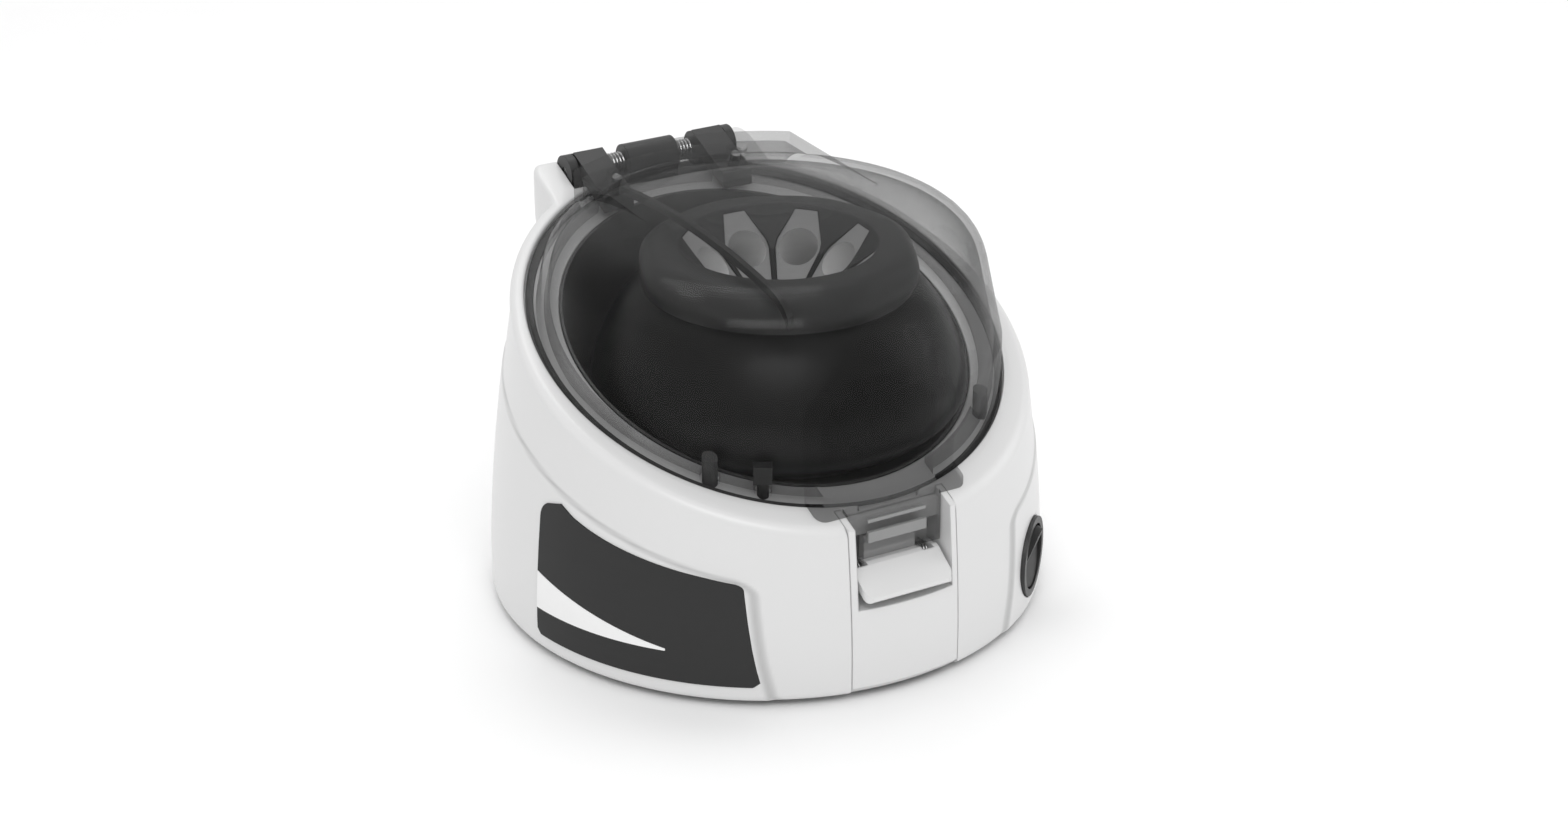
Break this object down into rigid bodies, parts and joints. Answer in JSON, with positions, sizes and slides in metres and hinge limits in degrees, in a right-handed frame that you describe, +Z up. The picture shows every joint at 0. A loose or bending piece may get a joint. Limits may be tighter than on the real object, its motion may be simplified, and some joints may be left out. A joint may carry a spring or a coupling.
{
  "type": "laboratory microcentrifuge",
  "caption": "Compact round benchtop centrifuge with a sloping white housing, smoked hinged lid, angle rotor for microtubes, front latch lever and round rocker switch.",
  "frame": {"origin": "bottom centre of the bounding box: midway between the tip of the latch lever and the back of the housing, on the mid-plane, at table level under the feet; the rotor axis is 6.95 mm in front of it", "axes": "+Z up along the rotor axis, -Y towards the latch at the front, +Y towards the hinge, +X towards the side with the power switch"},
  "size_m": [0.157, 0.1571, 0.1142],
  "materials": {
    "white_moulding": "satin",
    "base_moulding": "fine texture",
    "label_film": "satin film",
    "stripe_film": "satin film",
    "bowl_moulding": "satin",
    "seal_rubber": "matte",
    "motor_steel": "zinc plated",
    "ferrite": "matte",
    "end_cap_moulding": "plain",
    "bronze": "sintered",
    "screw_steel": "zinc plated",
    "board_laminate": "lacquered",
    "component_moulding": "plain",
    "dark_moulding": "satin",
    "wire_cover": "plain",
    "foot_rubber": "matte",
    "pin_steel": "ground",
    "smoked_lid": "polished, smoked",
    "light_moulding": "satin",
    "core_steel": "laminated",
    "aluminium": "turned",
    "rotor_moulding": "satin",
    "seat_moulding": "satin",
    "rocker_moulding": "satin"
  },
  "bodies": {
    "base": {"main_housing": "white_moulding", "base_plate": "base_moulding", "front_panel": "white_moulding", "label_plate": "label_film", "label_stripe": "stripe_film", "chamber_bowl": "bowl_moulding", "rim_seal": "seal_rubber", "motor_can": "motor_steel", "motor_magnets": "ferrite", "motor_end_cap": "end_cap_moulding", "motor_bearings": "bronze", "motor_mount_plate": "motor_steel", "motor_bushes": "seal_rubber", "motor_screws": "screw_steel", "bush_screws": "screw_steel", "circuit_board": "board_laminate", "board_components": "component_moulding", "board_screws": "screw_steel", "dc_socket": "dark_moulding", "wiring": "wire_cover", "switch_bezel": "dark_moulding", "switch_body": "dark_moulding", "interlock_switch": "dark_moulding", "rubber_feet": "foot_rubber", "base_screws": "screw_steel", "hinge_bracket": "dark_moulding", "hinge_pin": "pin_steel", "lid_springs": "pin_steel", "latch_pin": "pin_steel", "latch_spring": "pin_steel"},
    "lid": {"lid_shell": "smoked_lid", "lid_rib": "dark_moulding", "lid_catch": "light_moulding", "lid_hinge_arms": "dark_moulding", "lid_screws": "screw_steel", "lid_bumpers": "seal_rubber", "lid_pusher": "dark_moulding"},
    "rotor": {"motor_shaft": "pin_steel", "motor_armature": "core_steel", "commutator": "bronze", "rotor_hub": "aluminium", "rotor_body": "rotor_moulding", "tube_sleeves": "seat_moulding", "rotor_nut": "screw_steel"},
    "latch": {"latch_lever": "white_moulding"},
    "rocker": {"switch_rocker": "rocker_moulding"},
    "plunger": {"interlock_plunger": "dark_moulding"}
  },
  "joints": [
    {"name": "lid_hinge", "type": "hinge", "parent": "base", "child": "lid", "pos_m": [0, 0.07055, 0.10444], "axis": [-1, 0, 0], "range_deg": [0, 80]},
    {"name": "rotor_spin", "type": "hinge", "parent": "base", "child": "rotor", "pos_m": [0, -0.00695, 0.06], "axis": [0, 0, 1], "continuous": true},
    {"name": "latch_lift", "type": "hinge", "parent": "base", "child": "latch", "pos_m": [0, -0.06545, 0.0342], "axis": [-1, 0, 0], "range_deg": [0, 8]},
    {"name": "switch_rock", "type": "hinge", "parent": "base", "child": "rocker", "pos_m": [0.05149, -0.05467, 0.017], "axis": [-0.7314, -0.682, 0], "range_deg": [0, 14]},
    {"name": "plunger_slide", "type": "slide", "parent": "base", "child": "plunger", "axis": [0, 0, 1], "range_m": [0, 0.0012]}
  ],
  "couplings": [
    {"joint": "plunger_slide", "follows": "lid_hinge", "m_per_rad": 0.00085514}
  ]
}
